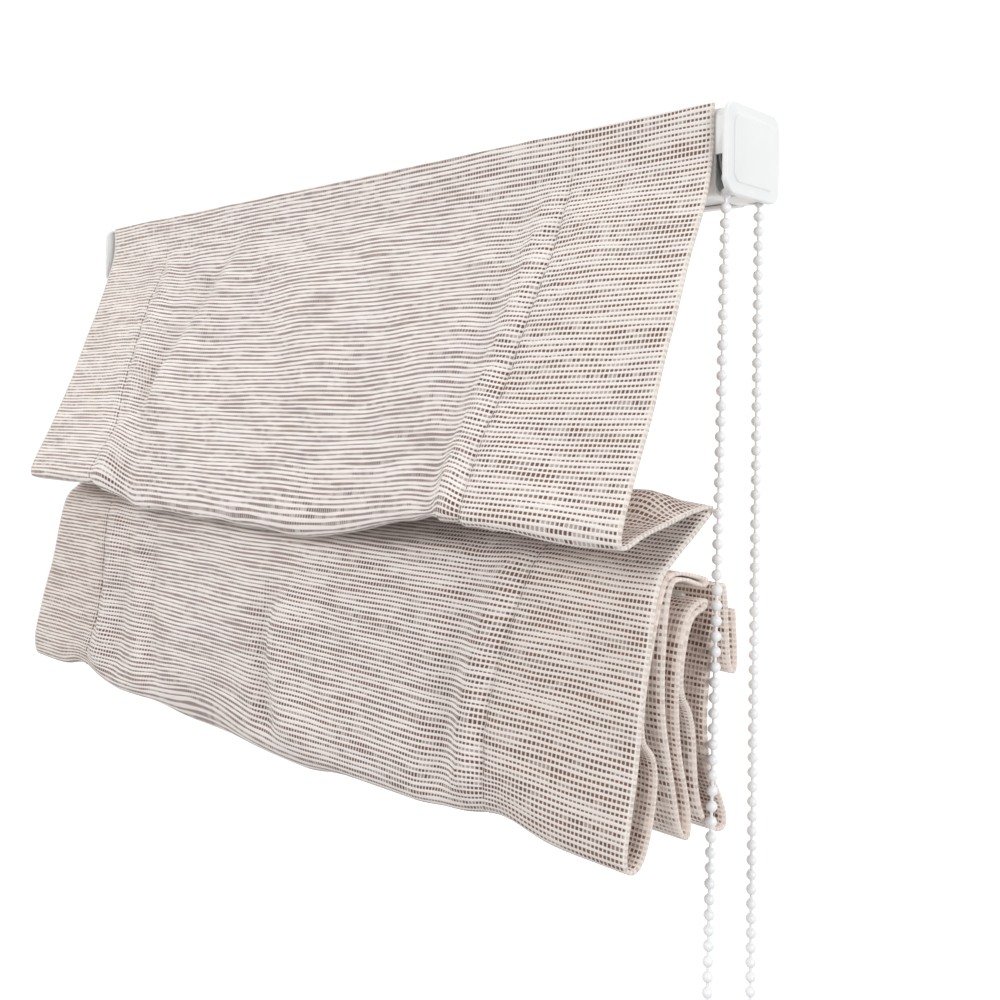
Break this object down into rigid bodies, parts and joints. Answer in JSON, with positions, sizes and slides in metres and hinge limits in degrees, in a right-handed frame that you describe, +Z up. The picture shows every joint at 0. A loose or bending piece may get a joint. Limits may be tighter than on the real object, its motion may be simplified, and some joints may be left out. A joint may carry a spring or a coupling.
{
  "type": "roman blind",
  "caption": "Partly raised roman blind: linen-look cloth in soft folds on a white headrail, lifted by cords from a bead-chain drive at its right end.",
  "frame": {"origin": "midway between the two ceiling bracket holes, on the brackets' top faces", "axes": "+X along the blind to the chain end, +Y back to the window, +Z up"},
  "size_m": [0.5012, 0.0943, 0.4594],
  "materials": {
    "white_rail": "white powder coat, satin",
    "white_moulding": "moulded, soft gloss",
    "inner_moulding": "moulded, matte",
    "ring_plastic": "moulded, translucent white",
    "zinc_steel": "zinc plated",
    "bar_aluminium": "mill finish",
    "fixing_tape": "hook and loop tape, white",
    "slub_cloth": "linen-look slub weave, off-white with brown weft",
    "white_cord": "braided polyester",
    "glass_fibre_rod": "pultruded glass fibre",
    "woven_tape": "woven polyester tape",
    "bead_plastic": "moulded white acetal"
  },
  "bodies": {
    "headrail_body": {"headrail": "white_rail", "right_end_cap": "white_moulding", "left_end_cap": "white_moulding", "drive_housing": "white_moulding", "clutch_spring": "zinc_steel", "left_drum_cradle": "inner_moulding", "right_drum_cradle": "inner_moulding", "left_bracket": "zinc_steel", "right_bracket": "zinc_steel", "hook_tape": "fixing_tape", "loop_tape": "fixing_tape", "upper_cloth": "slub_cloth", "left_lift_cord": "white_cord", "right_lift_cord": "white_cord", "bead_chain": "bead_plastic"},
    "drive_body": {"chain_wheel": "inner_moulding", "drive_hub": "inner_moulding", "shaft": "zinc_steel", "end_bush": "inner_moulding", "left_cord_drum": "inner_moulding", "right_cord_drum": "inner_moulding", "left_cord_turns": "white_cord", "right_cord_turns": "white_cord"},
    "fold_body": {"folded_cloth": "slub_cloth", "bottom_bar": "bar_aluminium", "left_cord_stop": "ring_plastic", "right_cord_stop": "ring_plastic", "rod_1": "glass_fibre_rod", "rod_pocket_1": "woven_tape", "cord_rings_1": "ring_plastic", "rod_2": "glass_fibre_rod", "rod_pocket_2": "woven_tape", "cord_rings_2": "ring_plastic", "rod_3": "glass_fibre_rod", "rod_pocket_3": "woven_tape", "cord_rings_3": "ring_plastic", "rod_4": "glass_fibre_rod", "rod_pocket_4": "woven_tape", "cord_rings_4": "ring_plastic"}
  },
  "joints": [
    {"name": "lift", "type": "slide", "parent": "headrail_body", "child": "fold_body", "axis": [0, 0, 1], "range_m": [-0.055, 0.105], "deforming": ["upper_cloth", "left_lift_cord", "right_lift_cord"]},
    {"name": "shaft_turn", "type": "hinge", "parent": "headrail_body", "child": "drive_body", "pos_m": [0, 0, -0.019], "axis": [1, 0, 0], "range_deg": [-910, 480], "deforming": ["bead_chain"]}
  ],
  "couplings": [
    {"joint": "shaft_turn", "follows": "lift", "rad_per_m": -149.25}
  ]
}
